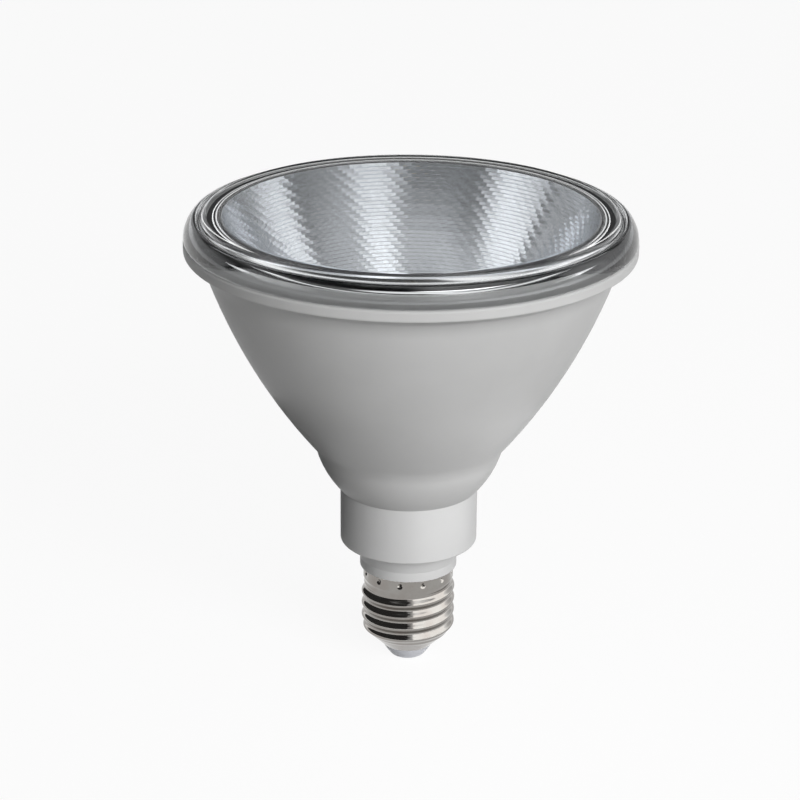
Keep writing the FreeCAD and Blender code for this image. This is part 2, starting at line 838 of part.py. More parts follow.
def power_parts():
    back = size("board_plane") + size("board_thickness") * 0.5
    front = size("board_plane") - size("board_thickness") * 0.5
    can_y = back + size("can_radius")
    can("output_capacitor", size("can_radius"), size("output_can_height"),
        size("can_x") * -1, can_y, size("output_can_at"))
    can("input_capacitor", size("can_radius"), size("input_can_height"),
        size("can_x"), can_y, size("input_can_at"))

    width = size("core_width")
    depth = size("core_depth")
    core_at = size("core_at")
    leg = size("core_leg")
    core_height = size("core_height")
    yoke = [box("core_bottom", (width, depth, leg), (width * -0.5, back, core_at)),
            box("core_top", (width, depth, leg), (width * -0.5, back, core_at + core_height - leg)),
            box("core_middle", (leg * 2, depth, core_height), (leg * -1, back, core_at))]
    for side in (-1, 1):
        name = "left" if side < 0 else "right"
        corner = width * -0.5 if side < 0 else width * 0.5 - leg
        yoke.append(box("core_" + name, (leg, depth, core_height), (corner, back, core_at)))
    keep(joined("transformer_core", yoke))

    window = width * 0.5 - leg - size("part_gap")
    winding_height = core_height - leg * 2 - size("part_gap") * 2
    winding = box("winding_block", (window * 2, depth - size("part_gap"), winding_height),
                  (window * -1, back + size("part_gap") * 0.5, core_at + leg + size("part_gap")))
    passage = box("winding_passage", (leg * 2, depth * 2, winding_height * 2),
                  (leg * -1, back - depth * 0.5, core_at))
    keep(cut("transformer_winding", winding, [passage]))

    keep(box("film_capacitor", (size("film_width"), size("film_depth"), size("film_height")),
             (size("film_width") * -0.5 - size("film_x"), back, size("film_at"))))
    drum = size("drum_radius")
    keep(move(turned("choke", [
        (0, 0),
        (drum, 0),
        (drum, size("drum_flange")),
        (drum * 0.8, size("drum_flange")),
        (drum * 0.8, size("drum_height") - size("drum_flange")),
        (drum, size("drum_height") - size("drum_flange")),
        (drum, size("drum_height")),
        (0, size("drum_height")),
    ]), size("drum_x"), back + drum, size("drum_at")))

    chip_size = size("chip_body")
    keep(box("bridge_rectifier", (chip_size, size("package_height"), chip_size * 0.8),
             (size("can_x") * -1, front - size("package_height"), size("bridge_at"))))
    keep(box("driver_chip", (chip_size, size("package_height"), chip_size * 0.8),
             (size("chip_x"), front - size("package_height"), size("driver_chip_at"))))

    disc = turned("varistor", [
        (0, 0),
        (size("disc_radius") - size("can_bead"), 0),
        (size("disc_radius"), size("can_bead"), size("can_bead") * 1.1),
        (size("disc_radius"), size("disc_height") - size("can_bead")),
        (size("disc_radius") - size("can_bead"), size("disc_height"), size("can_bead") * 1.1),
        (0, size("disc_height")),
    ])
    disc.Placement = FreeCAD.Placement(FreeCAD.Vector(), FreeCAD.Rotation(FreeCAD.Vector(1, 0, 0), 90))
    keep(move(disc, size("chip_x"), front, size("disc_at")))

    fuse_radius = size("fuse_radius")
    fuse_length = size("fuse_length")
    fuse = turned("fuse_resistor", [
        (0, 0),
        (fuse_radius * 0.8, 0),
        (fuse_radius, fuse_length * 0.1),
        (fuse_radius, fuse_length * 0.2),
        (fuse_radius * 0.85, fuse_length * 0.3),
        (fuse_radius * 0.85, fuse_length * 0.7),
        (fuse_radius, fuse_length * 0.8),
        (fuse_radius, fuse_length * 0.9),
        (fuse_radius * 0.8, fuse_length),
        (0, fuse_length),
    ])
    fuse.Placement = FreeCAD.Placement(FreeCAD.Vector(), FreeCAD.Rotation(FreeCAD.Vector(0, 1, 0), 90))
    keep(move(fuse, fuse_length * -0.5, front - fuse_radius, size("fuse_at")))


# Leads: round insulated wires. Two straight ones rise from the board to the holder, one runs from the
# board's tongue to the centre contact, and one from the tongue to the cap's wall

def wire_path(points, bend):
    """Straight runs joined by arcs that are tangent to both."""
    edges = []
    start = points[0]
    for index in range(1, len(points) - 1):
        corner = points[index]
        back = (points[index - 1] - corner).normalize()
        onward = (points[index + 1] - corner).normalize()
        half = back.getAngle(onward) / 2
        setback = bend / math.tan(half)
        first = corner + back * setback
        last = corner + onward * setback
        centre = corner + (back + onward).normalize() * (bend / math.sin(half))
        middle = centre + (corner - centre).normalize() * bend
        edges.append(Part.LineSegment(start, first).toShape())
        edges.append(Part.Arc(first, middle, last).toShape())
        start = last
    edges.append(Part.LineSegment(start, points[-1]).toShape())
    return Part.Wire(edges)


def lead(label, points, bend):
    path = wire_path(points, bend)
    radius = driving_sizes["lead_radius"]
    heading = points[1] - points[0]
    section = Part.Wire([Part.Circle(points[0], heading, radius).toShape()])
    tube = path.makePipeShell([section], True, True)
    wanted = math.pi * radius ** 2 * path.Length
    print("%s: length %.2f mm, volume %.3f of %.3f mm3" % (label, path.Length, tube.Volume, wanted))
    wire = doc.addObject("Part::Feature", label)
    wire.Label = label
    wire.Shape = tube
    keep(wire)


def leads():
    plane = driving_sizes["board_plane"]
    tongue_end = driving_sizes["tongue_end_at"]
    contact_end = driving_sizes["contact_end_at"]
    vector = FreeCAD.Vector
    middle = (tongue_end + contact_end) / 2
    half_jog = driving_sizes["live_jog"] / 2
    bend = driving_sizes["lead_bend"]
    lead("live_lead", [
        vector(0, 0, contact_end),
        vector(0, 0, middle - half_jog),
        vector(0, plane, middle + half_jog),
        vector(0, plane, tongue_end),
    ], bend)
    low = driving_sizes["neutral_low_at"]
    side = driving_sizes["neutral_x"]
    lead("neutral_lead", [
        vector(side, plane, tongue_end),
        vector(side, plane, low),
        vector(driving_sizes["neutral_end_x"], plane, low),
    ], bend)
    plate_top = size("ledge_at") + size("plate_thickness")
    for name, side in (("positive", 1), ("negative", -1)):
        keep(rod("lead_" + name, size("lead_radius"),
                 plate_top + size("lead_pocket_depth") - size("board_end_at"),
                 (side * size("output_lead_at"), size("board_plane"), size("board_end_at"))))


clear_lens()
lens_seal()
housing()
heat_sink()
reflector()
light_source()
screws()
driver_case()
screw_shell()
insulator_and_contact()
driver_board()
power_parts()
leads()
doc.recompute()

for thing in doc.Objects:
    if "Invalid" in thing.State or "Error" in thing.State:
        raise RuntimeError("%s did not compute" % thing.Label)
for part in parts:
    if part.Shape.isNull() or not part.Shape.isValid():
        raise RuntimeError("%s has no valid shape" % part.Label)

os.makedirs("parts", exist_ok=True)
for part in parts:
    part.Shape.exportStep("parts/%s.step" % part.Label)
    print("%-20s %2d solid(s) %12.2f mm3" % (part.Label, len(part.Shape.Solids), part.Shape.Volume))
print("%d nodes" % len(parts))
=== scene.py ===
import math

import bmesh
import bpy
from mathutils import Matrix, Vector


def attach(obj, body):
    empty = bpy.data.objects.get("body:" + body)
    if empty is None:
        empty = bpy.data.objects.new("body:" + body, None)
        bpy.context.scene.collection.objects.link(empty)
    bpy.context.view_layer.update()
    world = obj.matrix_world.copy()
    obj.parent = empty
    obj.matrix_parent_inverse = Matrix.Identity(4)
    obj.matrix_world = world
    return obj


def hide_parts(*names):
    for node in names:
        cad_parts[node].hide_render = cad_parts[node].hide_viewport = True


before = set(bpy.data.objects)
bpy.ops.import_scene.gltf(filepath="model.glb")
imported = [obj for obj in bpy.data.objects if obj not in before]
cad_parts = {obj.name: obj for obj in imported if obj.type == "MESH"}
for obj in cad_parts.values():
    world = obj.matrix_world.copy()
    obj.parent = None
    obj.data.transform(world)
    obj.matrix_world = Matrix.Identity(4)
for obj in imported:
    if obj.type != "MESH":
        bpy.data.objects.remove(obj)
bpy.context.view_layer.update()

# Camera: the lamp is seen from 21 degrees above and 0.68 m from the middle of its axis, through a long
# lens. The view is turned by half a degree, and shifted so that the axis stands right of the middle.
MM = 0.001
AXIS_POINT = Vector((0, 0, 77.6 * MM))
CAMERA_DISTANCE = 680 * MM
CAMERA_ELEVATION = math.radians(21.431)
CAMERA_ROLL = math.radians(0.51)
FOCAL_LENGTH = 111.15
PICTURE_WIDTH = 800
AXIS_PIXEL = 409.63


def placed(name, data):
    """A new object in the scene."""
    thing = bpy.data.objects.new(name, data)
    bpy.context.scene.collection.objects.link(thing)
    return thing


camera_data = bpy.data.cameras.new("camera")
camera_data.lens = FOCAL_LENGTH
camera_data.sensor_width = 36
camera_data.shift_x = (PICTURE_WIDTH / 2 - AXIS_PIXEL) / PICTURE_WIDTH
camera_data.clip_end = 50
camera = placed("camera", camera_data)
towards_camera = Vector((0, -math.cos(CAMERA_ELEVATION), math.sin(CAMERA_ELEVATION)))
camera.location = AXIS_POINT + towards_camera * CAMERA_DISTANCE
aim = (-towards_camera).to_track_quat("-Z", "Y").to_matrix()
camera.rotation_euler = (aim @ Matrix.Rotation(CAMERA_ROLL, 3, "Z")).to_euler()
bpy.context.scene.camera = camera
bpy.context.scene.view_settings.view_transform = "Standard"


# Studio: a white floor that keeps the lamp's shadow, a white world, and a large soft lamp in front at the
# right. A tent with bright panels, and a dark and a bright card near the lamp's foot, show only in the
# shine of metal and plastic. The tent shows through the clear lens too.
AMBIENT = 0.04
FLOOR_HALF = 8.0
FLOOR_GREY = 0.38
FLOOR_GLOW = 1.22
SHADOW_SHARE = 0.25
LAMP_DISTANCE = 1.6
TENT_RADIUS = 3.0
TENT_COLUMNS = 180
TENT_ROWS = 44
TENT_LOWEST = 1
TENT_HIGHEST = 89
TENT_COLOUR = (0.97, 0.985, 1.0, 1)
CARD_RADIUS = 48 * MM
CARD_STEPS = 24

# The tent's panels, each as (azimuth, level) stops and (elevation, level) stops in degrees, seen from the
# lamp with azimuth 0 at the camera and positive to its right.
PANELS = [
    # cloth all round, brightest halfway up
    (((0, 1),), ((0, 0.15), (28, 0.12), (33, 0.22), (37, 0.50), (41, 0.95), (48, 0.80), (54, 0.03))),
    # the key lamp's panel, and the one at the left of the camera
    (((-2, 0), (20, 1), (34, 1), (56, 0)),
     ((6, 0.3), (20, 1.2), (31, 1.5), (41, 2.0), (66, 2.2), (76, 0.2))),
    (((-101, 0), (-97, 1), (-66, 1), (-46, 0)),
     ((4, 0.4), (18, 1.2), (24, 2.0), (32, 2.0), (38, 0.9), (42, 0))),
    # daylight from the right, and a narrow panel beside the left one
    (((84, 0), (92, 1.9), (112, 1.9), (118, 1.3), (136, 0.9), (150, 0)),
     ((6, 0.8), (16, 1.0), (34, 1.0), (46, 0.3), (56, 0))),
    (((-136, 0), (-126, 1.0), (-106, 1.0), (-101, 0)), ((20, 1), (36, 0))),
    # a panel high at the right, one halfway up there, and one high behind
    (((0, 0), (16, 1), (88, 1), (108, 0)), ((46, 0), (52, 1.6), (68, 2.0), (76, 0))),
    (((40, 0), (52, 0.75), (80, 0.75), (90, 0)), ((20, 0.3), (34, 1), (44, 1), (52, 0))),
    (((125, 0), (140, 0.3), (156, 0.9), (167, 0.9), (172, 0)), ((46, 0), (52, 1))),
    # a bright strip close to the floor, and the tent's top
    (((-60, 1.7), (10, 2.8), (40, 4.2), (100, 3.0), (130, 1.4)), ((8, 1), (12, 0))),
    (((0, 1),), ((72, 0), (78, 0.8))),
]
# Those that stand behind the lamp at both sides, and are the same at negative azimuths.
PAIRED_PANELS = [
    (((118, 0), (136, 1)), ((28, 0), (36, 0.5), (44, 0.5), (50, 0))),
    (((104, 0), (112, 0.85), (169, 0.85), (173, 0.15)), ((20, 1), (27, 0))),
]


def shader_tree(name):
    """A new material with its nodes and links."""
    material = bpy.data.materials.new(name)
    material.use_nodes = True
    return material, material.node_tree.nodes, material.node_tree.links


def seen_directly(nodes, links):
    """1 for a ray from the camera, one that is mirrored and one that goes through glass. Else 0."""
    path = nodes.new("ShaderNodeLightPath")
    seen = path.outputs["Is Camera Ray"]
    for ray in ("Is Glossy Ray", "Is Transmission Ray"):
        either = nodes.new("ShaderNodeMath")
        either.operation = "MAXIMUM"
        links.new(seen, either.inputs[0])
        links.new(path.outputs[ray], either.inputs[1])
        seen = either.outputs[0]
    return seen


def unseen(thing, *rays):
    """An object hidden from some kinds of rays."""
    for ray in rays:
        setattr(thing, "visible_" + ray, False)


world = bpy.data.worlds.new("studio")
world.use_nodes = True
bpy.context.scene.world = world
nodes, links = world.node_tree.nodes, world.node_tree.links
backdrop = nodes["Background"]
backdrop.inputs["Color"].default_value = (1, 1, 1, 1)
strength = nodes.new("ShaderNodeMapRange")
strength.inputs["To Min"].default_value = AMBIENT
strength.inputs["To Max"].default_value = 1.0
links.new(seen_directly(nodes, links), strength.inputs["Value"])
links.new(strength.outputs["Result"], backdrop.inputs["Strength"])

floor_mesh = bpy.data.meshes.new("floor")
floor_mesh.from_pydata(
    [(-FLOOR_HALF, -FLOOR_HALF, 0), (FLOOR_HALF, -FLOOR_HALF, 0),
     (FLOOR_HALF, FLOOR_HALF, 0), (-FLOOR_HALF, FLOOR_HALF, 0)], [], [(0, 1, 2, 3)])
floor = placed("floor", floor_mesh)
floor_paint, nodes, links = shader_tree("floor_paint")
matt = nodes["Principled BSDF"]
matt.inputs["Base Color"].default_value = (FLOOR_GREY, FLOOR_GREY, FLOOR_GREY, 1)
matt.inputs["Roughness"].default_value = 0.9
glow = nodes.new("ShaderNodeEmission")
glow.inputs["Strength"].default_value = FLOOR_GLOW
blend = nodes.new("ShaderNodeMixShader")
share = nodes.new("ShaderNodeMath")
share.operation = "MULTIPLY"
share.inputs[1].default_value = 1 - SHADOW_SHARE
links.new(seen_directly(nodes, links), share.inputs[0])
links.new(share.outputs[0], blend.inputs["Fac"])
links.new(matt.outputs["BSDF"], blend.inputs[1])
links.new(glow.outputs["Emission"], blend.inputs[2])
links.new(blend.outputs["Shader"], nodes["Material Output"].inputs["Surface"])
floor_mesh.materials.append(floor_paint)


def seen_from_lamp(azimuth, elevation, distance):
    """A place round the lamp. Azimuth 0 is the camera's side, and positive is to its right."""
    side, rise = math.radians(azimuth), math.radians(elevation)
    return AXIS_POINT + distance * Vector(
        (math.sin(side) * math.cos(rise), -math.cos(side) * math.cos(rise), math.sin(rise)))


def soft_lamp(name, azimuth, elevation, width, height, watts):
    """An area lamp that faces the axis. The tent's panels stand for it in reflections."""
    light = bpy.data.lights.new(name, "AREA")
    light.shape = "RECTANGLE"
    light.size, light.size_y = width, height
    light.energy = watts
    lamp = placed(name, light)
    lamp.location = seen_from_lamp(azimuth, elevation, LAMP_DISTANCE)
    lamp.rotation_euler = (AXIS_POINT - lamp.location).to_track_quat("-Z", "Y").to_euler()
    unseen(lamp, "glossy", "transmission")


def ramp(value, *stops):
    """The level at a value, from (value, level) stops with straight runs between them."""
    if value <= stops[0][0]:
        return stops[0][1]
    for (low, low_level), (high, high_level) in zip(stops, stops[1:]):
        if value <= high:
            return low_level + (high_level - low_level) * (value - low) / (high - low)
    return stops[-1][1]


def tent_light(azimuth, elevation):
    """How bright the tent is in a direction: the brightest of its panels there."""
    return max(ramp(turn, *around) * ramp(elevation, *upwards)
               for turn, panels in ((azimuth, PANELS), (abs(azimuth), PAIRED_PANELS))
               for around, upwards in panels)


def tent():
    """The tent's dome, whose light is kept with its points. It only shows in metal, in the plastic's sheen
    and in clear plastic."""
    climb = TENT_HIGHEST - TENT_LOWEST
    angles = [(-180 + 360 * column / TENT_COLUMNS, TENT_LOWEST + climb * row / TENT_ROWS)
              for row in range(TENT_ROWS + 1) for column in range(TENT_COLUMNS)]
    faces = []
    for row in range(TENT_ROWS):
        for column in range(TENT_COLUMNS):
            below, above = row * TENT_COLUMNS, (row + 1) * TENT_COLUMNS
            follower = (column + 1) % TENT_COLUMNS
            faces.append((below + column, below + follower, above + follower, above + column))
    mesh = bpy.data.meshes.new("tent")
    mesh.from_pydata([seen_from_lamp(azimuth, elevation, TENT_RADIUS) for azimuth, elevation in angles],
                     [], faces)
    light = mesh.attributes.new("light", "FLOAT", "POINT")
    light.data.foreach_set("value", [tent_light(azimuth, elevation) for azimuth, elevation in angles])
    dome = placed("tent", mesh)
    unseen(dome, "camera", "diffuse", "shadow")
    cloth, nodes, links = shader_tree("tent_cloth")
    level = nodes.new("ShaderNodeAttribute")
    level.attribute_name = "light"
    glow = nodes.new("ShaderNodeEmission")
    glow.inputs["Color"].default_value = TENT_COLOUR
    links.new(level.outputs["Fac"], glow.inputs["Strength"])
    links.new(glow.outputs["Emission"], nodes["Material Output"].inputs["Surface"])
    mesh.materials.append(cloth)


def card(name, start, end, low, high, glow):
    """A curved card close round the lamp's foot, from one azimuth to another and between two heights in
    millimetres. It only shows in metal and in the plastic's sheen."""
    turns = [math.radians(start + (end - start) * step / CARD_STEPS) for step in range(CARD_STEPS + 1)]
    corners = [Vector((math.sin(turn) * CARD_RADIUS, -math.cos(turn) * CARD_RADIUS, level * MM))
               for level in (low, high) for turn in turns]
    row = len(turns)
    faces = [(step, step + 1, row + step + 1, row + step) for step in range(CARD_STEPS)]
    mesh = bpy.data.meshes.new(name)
    mesh.from_pydata(corners, [], faces)
    sheet = placed(name, mesh)
    unseen(sheet, "camera", "shadow", "transmission", "diffuse")
    paint, nodes, links = shader_tree(name)
    light = nodes.new("ShaderNodeEmission")
    light.inputs["Strength"].default_value = glow
    links.new(light.outputs["Emission"], nodes["Material Output"].inputs["Surface"])
    mesh.materials.append(paint)


soft_lamp("key_lamp", azimuth=30, elevation=22, width=1.5, height=0.9, watts=30.5)
tent()
card("dark_card", start=-135, end=-3, low=20, high=66, glow=0.05)
card("bright_card", start=10, end=96, low=22, high=62, glow=2.6)


# Screw cap: one drawn sheet of nickel-plated brass with a rounded thread rolled into it, tapered at the
# foot. Its plain collar is crimped on to the driver case with twelve punch marks.
SHELL_WALL = [
    (7.2, 4.0), (10.6, 7.35), (12.1, 10.0, 3.4), (12.1, 23.4), (12.7, 24.9), (12.7, 28.6), (12.35, 28.6),
    (12.35, 25.0), (11.75, 23.5), (11.75, 10.1), (10.3, 7.6, -3.1), (6.95, 4.25),
]
THREAD_PITCH = 3.629
THREAD_DEPTH = 1.05
FIRST_CREST = 7.22
THREAD_FADES_IN = (7.4, 10.6)
THREAD_FADES_OUT = (24.2, 21.6)
MARKS = 12
MARK_TURN = -10.5
MARK_HEIGHT = 26.8
MARK_DEPTH = 0.75
MARK_WIDTH = 0.42
DISH_DEPTH = 0.3
DISH_NARROWNESS = 0.11
COLLAR_RADIUS = 12.7
CAP_COLUMNS = 300
CAP_ROWS = 270
ARC_STEP = math.radians(6)
LONGEST_STEP = 4
MERGED_BELOW = 0.002 * MM
SCRATCH_STRETCH = 8


def outline_points(outline):
    """A half outline in millimetres with its arcs divided. A point is (radius, height), or (radius,
    height, bend) where an arc of that radius arrives at it, to the left if the bend is positive."""
    points = []
    for index, entry in enumerate(outline):
        end = Vector(entry[:2])
        if len(entry) == 3:
            start, bend = Vector(outline[index - 1][:2]), entry[2]
            chord = end - start
            rise = math.sqrt(max(bend * bend - chord.length_squared / 4, 0))
            left = Vector((-chord.y, chord.x)).normalized()
            centre = (start + end) / 2 + left * math.copysign(rise, bend)
            sweep = 2 * math.asin(min(chord.length / 2 / abs(bend), 1))
            steps = max(2, math.ceil(sweep / ARC_STEP), math.ceil(chord.length / LONGEST_STEP))
            for step in range(1, steps):
                turn = Matrix.Rotation(math.copysign(sweep * step / steps, bend), 2)
                points.append(centre + turn @ (start - centre))
        points.append(end)
    return points


def outline_wire(name, outline, closed):
    """An outline as a wire in metres, radius on X and height on Z, for Geometry Nodes to sample."""
    points = outline_points(outline)
    mesh = bpy.data.meshes.new(name)
    last = len(points) - 1
    edges = [(start, start + 1) for start in range(last)] + ([(last, 0)] if closed else [])
    mesh.from_pydata([(point.x * MM, 0, point.y * MM) for point in points], edges, [])
    return placed(name, mesh)


class Tree:
    """A geometry node tree with named number inputs, and short calls for its nodes."""

    def __init__(self, name, numbers):
        self.group = bpy.data.node_groups.new(name, "GeometryNodeTree")
        self.group.interface.new_socket("Geometry", in_out="INPUT", socket_type="NodeSocketGeometry")
        self.group.interface.new_socket("Geometry", in_out="OUTPUT", socket_type="NodeSocketGeometry")
        self.values = {}
        for label, value in numbers.items():
            kind = "NodeSocketInt" if isinstance(value, int) else "NodeSocketFloat"
            socket = self.group.interface.new_socket(label, in_out="INPUT", socket_type=kind)
            self.values[socket.identifier] = value
        self.start = self.group.nodes.new("NodeGroupInput")
        self.end = self.group.nodes.new("NodeGroupOutput")

    def number(self, label):
        """A named input of the tree."""
        return self.start.outputs[label]

    def node(self, kind, inputs=(), **settings):
        """A node with its settings. Each input is a value, or another node's output to link."""
        made = self.group.nodes.new(kind)
        for key, value in settings.items():
            setattr(made, key, value)
        for key, value in dict(inputs).items():
            if isinstance(value, bpy.types.NodeSocket):
                self.group.links.new(value, made.inputs[key])
            else:
                made.inputs[key].default_value = value
        return made

    def maths(self, operation, first, second=0.0, third=0.0):
        """One sum on numbers or on other nodes' outputs."""
        return self.node("ShaderNodeMath", {0: first, 1: second, 2: third}, operation=operation).outputs[0]

    def point(self, x, y, z):
        """A vector from its three parts."""
        return self.node("ShaderNodeCombineXYZ", {0: x, 1: y, 2: z}).outputs[0]

    def parts(self, vector):
        """A vector's three parts."""
        return self.node("ShaderNodeSeparateXYZ", {0: vector}).outputs

    def place(self):
        """The three parts of each point's position."""
        return self.parts(self.node("GeometryNodeInputPosition").outputs[0])

    def grid(self, columns, rows):
        """A grid with one point more than its columns, and each point's column and row as fields."""
        lines = self.node("GeometryNodeMeshGrid", {
            "Size X": 1.0, "Size Y": 1.0,
            "Vertices X": self.maths("ADD", columns, 1.0), "Vertices Y": rows})
        place = self.place()
        column = self.maths("ROUND", self.maths("MULTIPLY", self.maths("ADD", place[0], 0.5), columns))
        gaps = self.maths("SUBTRACT", rows, 1.0)
        row = self.maths("ROUND", self.maths("MULTIPLY", self.maths("ADD", place[1], 0.5), gaps))
        return lines.outputs["Mesh"], column, row

    def on_wire(self, wire, share):
        """Radius and height, and their two slopes, at a share of the wire's length."""
        curve = self.node("GeometryNodeMeshToCurve", {"Mesh": wire}).outputs["Curve"]
        spot = self.node("GeometryNodeSampleCurve", {"Curves": curve, "Factor": share},
                         mode="FACTOR", use_all_curves=True)
        place = self.parts(spot.outputs["Position"])
        slope = self.parts(spot.outputs["Tangent"])
        return place[0], place[2], slope[0], slope[2]

    def turned(self, mesh, radius, height, angle):
        """The grid's points put round the axis."""
        place = self.point(self.maths("MULTIPLY", radius, self.maths("COSINE", angle)),
                           self.maths("MULTIPLY", radius, self.maths("SINE", angle)), height)
        return self.node("GeometryNodeSetPosition", {"Geometry": mesh, "Position": place}).outputs[0]

    def finish(self, mesh, material):
        """The seam merged, the shape made real and its material set."""
        merged = self.node("GeometryNodeMergeByDistance", {"Geometry": mesh, "Distance": MERGED_BELOW})
        real = self.node("GeometryNodeRealizeInstances", {"Geometry": merged.outputs[0]})
        dressed = self.node("GeometryNodeSetMaterial", {"Geometry": real.outputs[0], "Material": material})
        return dressed.outputs[0]

    def apply(self, wire, result, name):
        """The tree run on a wire, and its result as a plain mesh. The wire is used up."""
        self.group.links.new(result, self.end.inputs["Geometry"])
        modifier = wire.modifiers.new(name, "NODES")
        modifier.node_group = self.group
        for identifier, value in self.values.items():
            modifier[identifier] = value
        evaluated = wire.evaluated_get(bpy.context.evaluated_depsgraph_get())
        mesh = bpy.data.meshes.new_from_object(evaluated)
        mesh.name = name
        bpy.data.objects.remove(wire)
        return mesh


def outward(mesh, sharp):
    """Normals recalculated to point outwards, and edges sharper than an angle in degrees kept sharp."""
    work = bmesh.new()
    work.from_mesh(mesh)
    bmesh.ops.recalc_face_normals(work, faces=work.faces)
    work.to_mesh(mesh)
    work.free()
    mesh.shade_smooth()
    mesh.set_sharp_from_angle(angle=math.radians(sharp))
    return mesh


def piece(name, mesh, slot, *replaced):
    """A finished piece at the origin, which stands for its solids and rides on the lamp."""
    thing = placed(name, mesh)
    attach(thing, "root")
    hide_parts(*replaced)


def texture(nodes, links, kind, scale, stretch=(1, 1, 1), **inputs):
    """A pattern on the object's own coordinates. Scale counts its features in a metre."""
    place = nodes.new("ShaderNodeTexCoord")
    mapping = nodes.new("ShaderNodeMapping")
    mapping.inputs["Scale"].default_value = stretch
    links.new(place.outputs["Object"], mapping.inputs["Vector"])
    pattern = nodes.new(kind)
    pattern.inputs["Scale"].default_value = scale
    for key, value in inputs.items():
        pattern.inputs[key.replace("_", " ").title()].default_value = value
    links.new(mapping.outputs["Vector"], pattern.inputs["Vector"])
    return pattern.outputs[0]


def colours(nodes, links, source, *stops):
    """A colour ramp over a pattern: (position, (red, green, blue)) for each stop."""
    ramp = nodes.new("ShaderNodeValToRGB")
    while len(ramp.color_ramp.elements) < len(stops):
        ramp.color_ramp.elements.new(0.5)
    for element, (position, colour) in zip(ramp.color_ramp.elements, stops):
        element.position = position
        element.color = (*colour, 1)
    links.new(source, ramp.inputs["Fac"])
    return ramp.outputs["Color"]


def span(nodes, links, source, low, high, start, end):
    """A pattern mapped from the range between start and end on to the one between low and high."""
    ranges = nodes.new("ShaderNodeMapRange")
    for key, value in (("From Min", start), ("From Max", end), ("To Min", low), ("To Max", high)):
        ranges.inputs[key].default_value = value
    links.new(source, ranges.inputs["Value"])
    return ranges.outputs["Result"]


def bumped(nodes, links, shader, source, height_mm, strength=1.0):
    """A pattern as relief of this height under a shader."""
    bump = nodes.new("ShaderNodeBump")
    bump.inputs["Distance"].default_value = height_mm * MM
    bump.inputs["Strength"].default_value = strength
    links.new(source, bump.inputs["Height"])
    links.new(bump.outputs["Normal"], shader.inputs["Normal"])


def shade(colour, factor):
    """A colour made lighter or darker."""
    return tuple(channel * factor for channel in colour)


def metal(name, colour, roughness, uneven=0.06, cloud_mm=4.0, scratch_mm=0.12, relief_mm=0.002,
          tarnish=(1.0, 1.0, 1.0)):
    """Polished or worked metal: a cloudy film in its colour, uneven gloss, and fine drawing marks that run
    round the axis."""
    material, nodes, links = shader_tree(name)
    shader = nodes["Principled BSDF"]
    shader.inputs["Metallic"].default_value = 1
    cloud = texture(nodes, links, "ShaderNodeTexNoise", 1000 / cloud_mm, detail=4.0)
    film = tuple(channel * tint for channel, tint in zip(colour, tarnish))
    links.new(colours(nodes, links, cloud, (0.35, shade(film, 1 - uneven)), (0.65, colour)),
              shader.inputs["Base Color"])
    marks = texture(nodes, links, "ShaderNodeTexNoise", 1000 / scratch_mm / SCRATCH_STRETCH,
                    (1, 1, SCRATCH_STRETCH), detail=3.0)
    gloss = span(nodes, links, marks, roughness * 0.75, roughness * 1.3, 0.3, 0.7)
    links.new(gloss, shader.inputs["Roughness"])
    bumped(nodes, links, shader, marks, relief_mm)
    return material


nickel = metal("nickel_plate", (0.31, 0.30, 0.283), 0.10, uneven=0.10, tarnish=(1.0, 0.96, 0.95))

T = Tree("rolled_cap", {
    "Columns": CAP_COLUMNS, "Rows": CAP_ROWS, "Pitch": THREAD_PITCH * MM, "Depth": THREAD_DEPTH * MM,
    "First Crest": FIRST_CREST * MM, "Mark Count": MARKS, "Mark Turn": math.radians(MARK_TURN),
    "Mark Height": MARK_HEIGHT * MM, "Mark Depth": MARK_DEPTH * MM, "Mark Width": MARK_WIDTH * MM,
    "Collar Radius": COLLAR_RADIUS * MM,
})
sheet_mesh, column, row = T.grid(T.number("Columns"), T.number("Rows"))
share = T.maths("DIVIDE", row, T.maths("SUBTRACT", T.number("Rows"), 1.0))
wall_radius, height, _, _ = T.on_wire(T.start.outputs["Geometry"], share)
turn = T.maths("DIVIDE", column, T.number("Columns"))
angle = T.maths("MULTIPLY", turn, math.tau)
climb = T.maths("DIVIDE", T.maths("SUBTRACT", height, T.number("First Crest")), T.number("Pitch"))
wave = T.maths("COSINE", T.maths("MULTIPLY", T.maths("SUBTRACT", climb, turn), math.tau))
ridge = T.maths("MULTIPLY_ADD", wave, 0.5, 0.5)
fades = [T.node("ShaderNodeMapRange", {"Value": height, "From Min": none * MM, "From Max": full * MM},
                interpolation_type="SMOOTHSTEP") for none, full in (THREAD_FADES_IN, THREAD_FADES_OUT)]
fade = T.maths("MULTIPLY", fades[0].outputs["Result"], fades[1].outputs["Result"])
thread = T.maths("MULTIPLY", T.maths("MULTIPLY", ridge, T.number("Depth")), fade)
mark_gap = T.maths("DIVIDE", math.tau, T.number("Mark Count"))
from_mark = T.maths("WRAP", T.maths("SUBTRACT", angle, T.number("Mark Turn")),
                    T.maths("MULTIPLY", mark_gap, 0.5), T.maths("MULTIPLY", mark_gap, -0.5))
sideways = T.maths("MULTIPLY", from_mark, T.number("Collar Radius"))
across = T.maths("DIVIDE", sideways, T.number("Mark Width"))
above = T.maths("DIVIDE", T.maths("SUBTRACT", height, T.number("Mark Height")), T.number("Mark Width"))
reach = T.maths("ADD", T.maths("MULTIPLY", across, across), T.maths("MULTIPLY", above, above))
core = T.maths("EXPONENT", T.maths("MULTIPLY", reach, -1.0))
dish = T.maths("EXPONENT", T.maths("MULTIPLY", reach, -DISH_NARROWNESS))
dent = T.maths("MULTIPLY", T.maths("MULTIPLY_ADD", dish, DISH_DEPTH, core), T.number("Mark Depth"))
radius = T.maths("SUBTRACT", T.maths("ADD", wall_radius, thread), dent)
